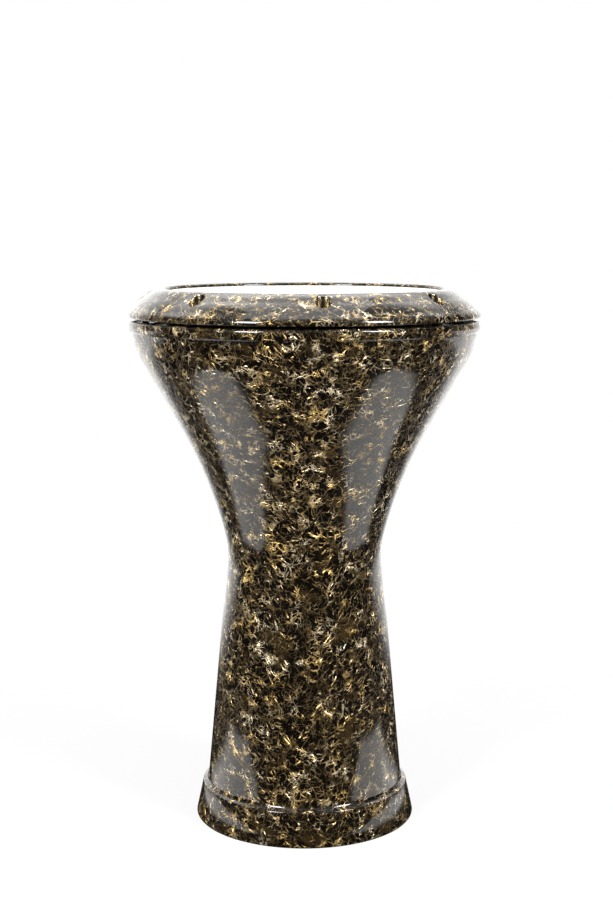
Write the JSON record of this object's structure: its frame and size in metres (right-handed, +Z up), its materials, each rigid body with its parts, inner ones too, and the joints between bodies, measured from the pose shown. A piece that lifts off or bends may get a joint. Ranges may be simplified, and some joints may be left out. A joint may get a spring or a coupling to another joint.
{
  "type": "goblet drum",
  "caption": "Goblet-shaped hand drum of cast metal with a waisted stem, a flared foot, a plastic head and a bolted tension ring.",
  "frame": {"origin": "centre of the foot's bottom face, on the drum's axis", "axes": "+Z up along the drum's axis towards the head; the first bolt is towards -Y"},
  "size_m": [0.2808, 0.2808, 0.43],
  "materials": {
    "lacquered_aluminium": "gloss",
    "head_film": "gloss",
    "hoop_aluminium": "satin",
    "hoop_resin": "gloss",
    "bolt_steel": "satin"
  },
  "bodies": {
    "shell": {"goblet_shell": "lacquered_aluminium", "drumhead_film": "head_film", "drumhead_hoop": "hoop_aluminium", "drumhead_resin": "hoop_resin"},
    "ring": {"tension_ring": "lacquered_aluminium", "bolt_washer_1": "bolt_steel", "bolt_washer_2": "bolt_steel", "bolt_washer_3": "bolt_steel", "bolt_washer_4": "bolt_steel", "bolt_washer_5": "bolt_steel", "bolt_washer_6": "bolt_steel", "bolt_washer_7": "bolt_steel", "bolt_washer_8": "bolt_steel"},
    "bolt_1": {"tuning_bolt_1": "bolt_steel"},
    "bolt_2": {"tuning_bolt_2": "bolt_steel"},
    "bolt_3": {"tuning_bolt_3": "bolt_steel"},
    "bolt_4": {"tuning_bolt_4": "bolt_steel"},
    "bolt_5": {"tuning_bolt_5": "bolt_steel"},
    "bolt_6": {"tuning_bolt_6": "bolt_steel"},
    "bolt_7": {"tuning_bolt_7": "bolt_steel"},
    "bolt_8": {"tuning_bolt_8": "bolt_steel"}
  },
  "joints": [
    {"name": "ring_lift", "type": "slide", "parent": "shell", "child": "ring", "axis": [0, 0, 1], "range_m": [0, 0.016]},
    {"name": "bolt_turn_1", "type": "hinge", "parent": "ring", "child": "bolt_1", "pos_m": [0, -0.1254, 0.4134], "axis": [0, 0, 1], "range_deg": [0, 5761]},
    {"name": "bolt_turn_2", "type": "hinge", "parent": "ring", "child": "bolt_2", "pos_m": [0.08867, -0.08867, 0.4134], "axis": [0, 0, 1], "range_deg": [0, 5761]},
    {"name": "bolt_turn_3", "type": "hinge", "parent": "ring", "child": "bolt_3", "pos_m": [0.1254, 0, 0.4134], "axis": [0, 0, 1], "range_deg": [0, 5761]},
    {"name": "bolt_turn_4", "type": "hinge", "parent": "ring", "child": "bolt_4", "pos_m": [0.08867, 0.08867, 0.4134], "axis": [0, 0, 1], "range_deg": [0, 5761]},
    {"name": "bolt_turn_5", "type": "hinge", "parent": "ring", "child": "bolt_5", "pos_m": [0, 0.1254, 0.4134], "axis": [0, 0, 1], "range_deg": [0, 5761]},
    {"name": "bolt_turn_6", "type": "hinge", "parent": "ring", "child": "bolt_6", "pos_m": [-0.08867, 0.08867, 0.4134], "axis": [0, 0, 1], "range_deg": [0, 5761]},
    {"name": "bolt_turn_7", "type": "hinge", "parent": "ring", "child": "bolt_7", "pos_m": [-0.1254, 0, 0.4134], "axis": [0, 0, 1], "range_deg": [0, 5761]},
    {"name": "bolt_turn_8", "type": "hinge", "parent": "ring", "child": "bolt_8", "pos_m": [-0.08867, -0.08867, 0.4134], "axis": [0, 0, 1], "range_deg": [0, 5761]}
  ],
  "couplings": [
    {"joint": "bolt_turn_1", "follows": "ring_lift", "rad_per_m": 6283.2},
    {"joint": "bolt_turn_2", "follows": "ring_lift", "rad_per_m": 6283.2},
    {"joint": "bolt_turn_3", "follows": "ring_lift", "rad_per_m": 6283.2},
    {"joint": "bolt_turn_4", "follows": "ring_lift", "rad_per_m": 6283.2},
    {"joint": "bolt_turn_5", "follows": "ring_lift", "rad_per_m": 6283.2},
    {"joint": "bolt_turn_6", "follows": "ring_lift", "rad_per_m": 6283.2},
    {"joint": "bolt_turn_7", "follows": "ring_lift", "rad_per_m": 6283.2},
    {"joint": "bolt_turn_8", "follows": "ring_lift", "rad_per_m": 6283.2}
  ]
}
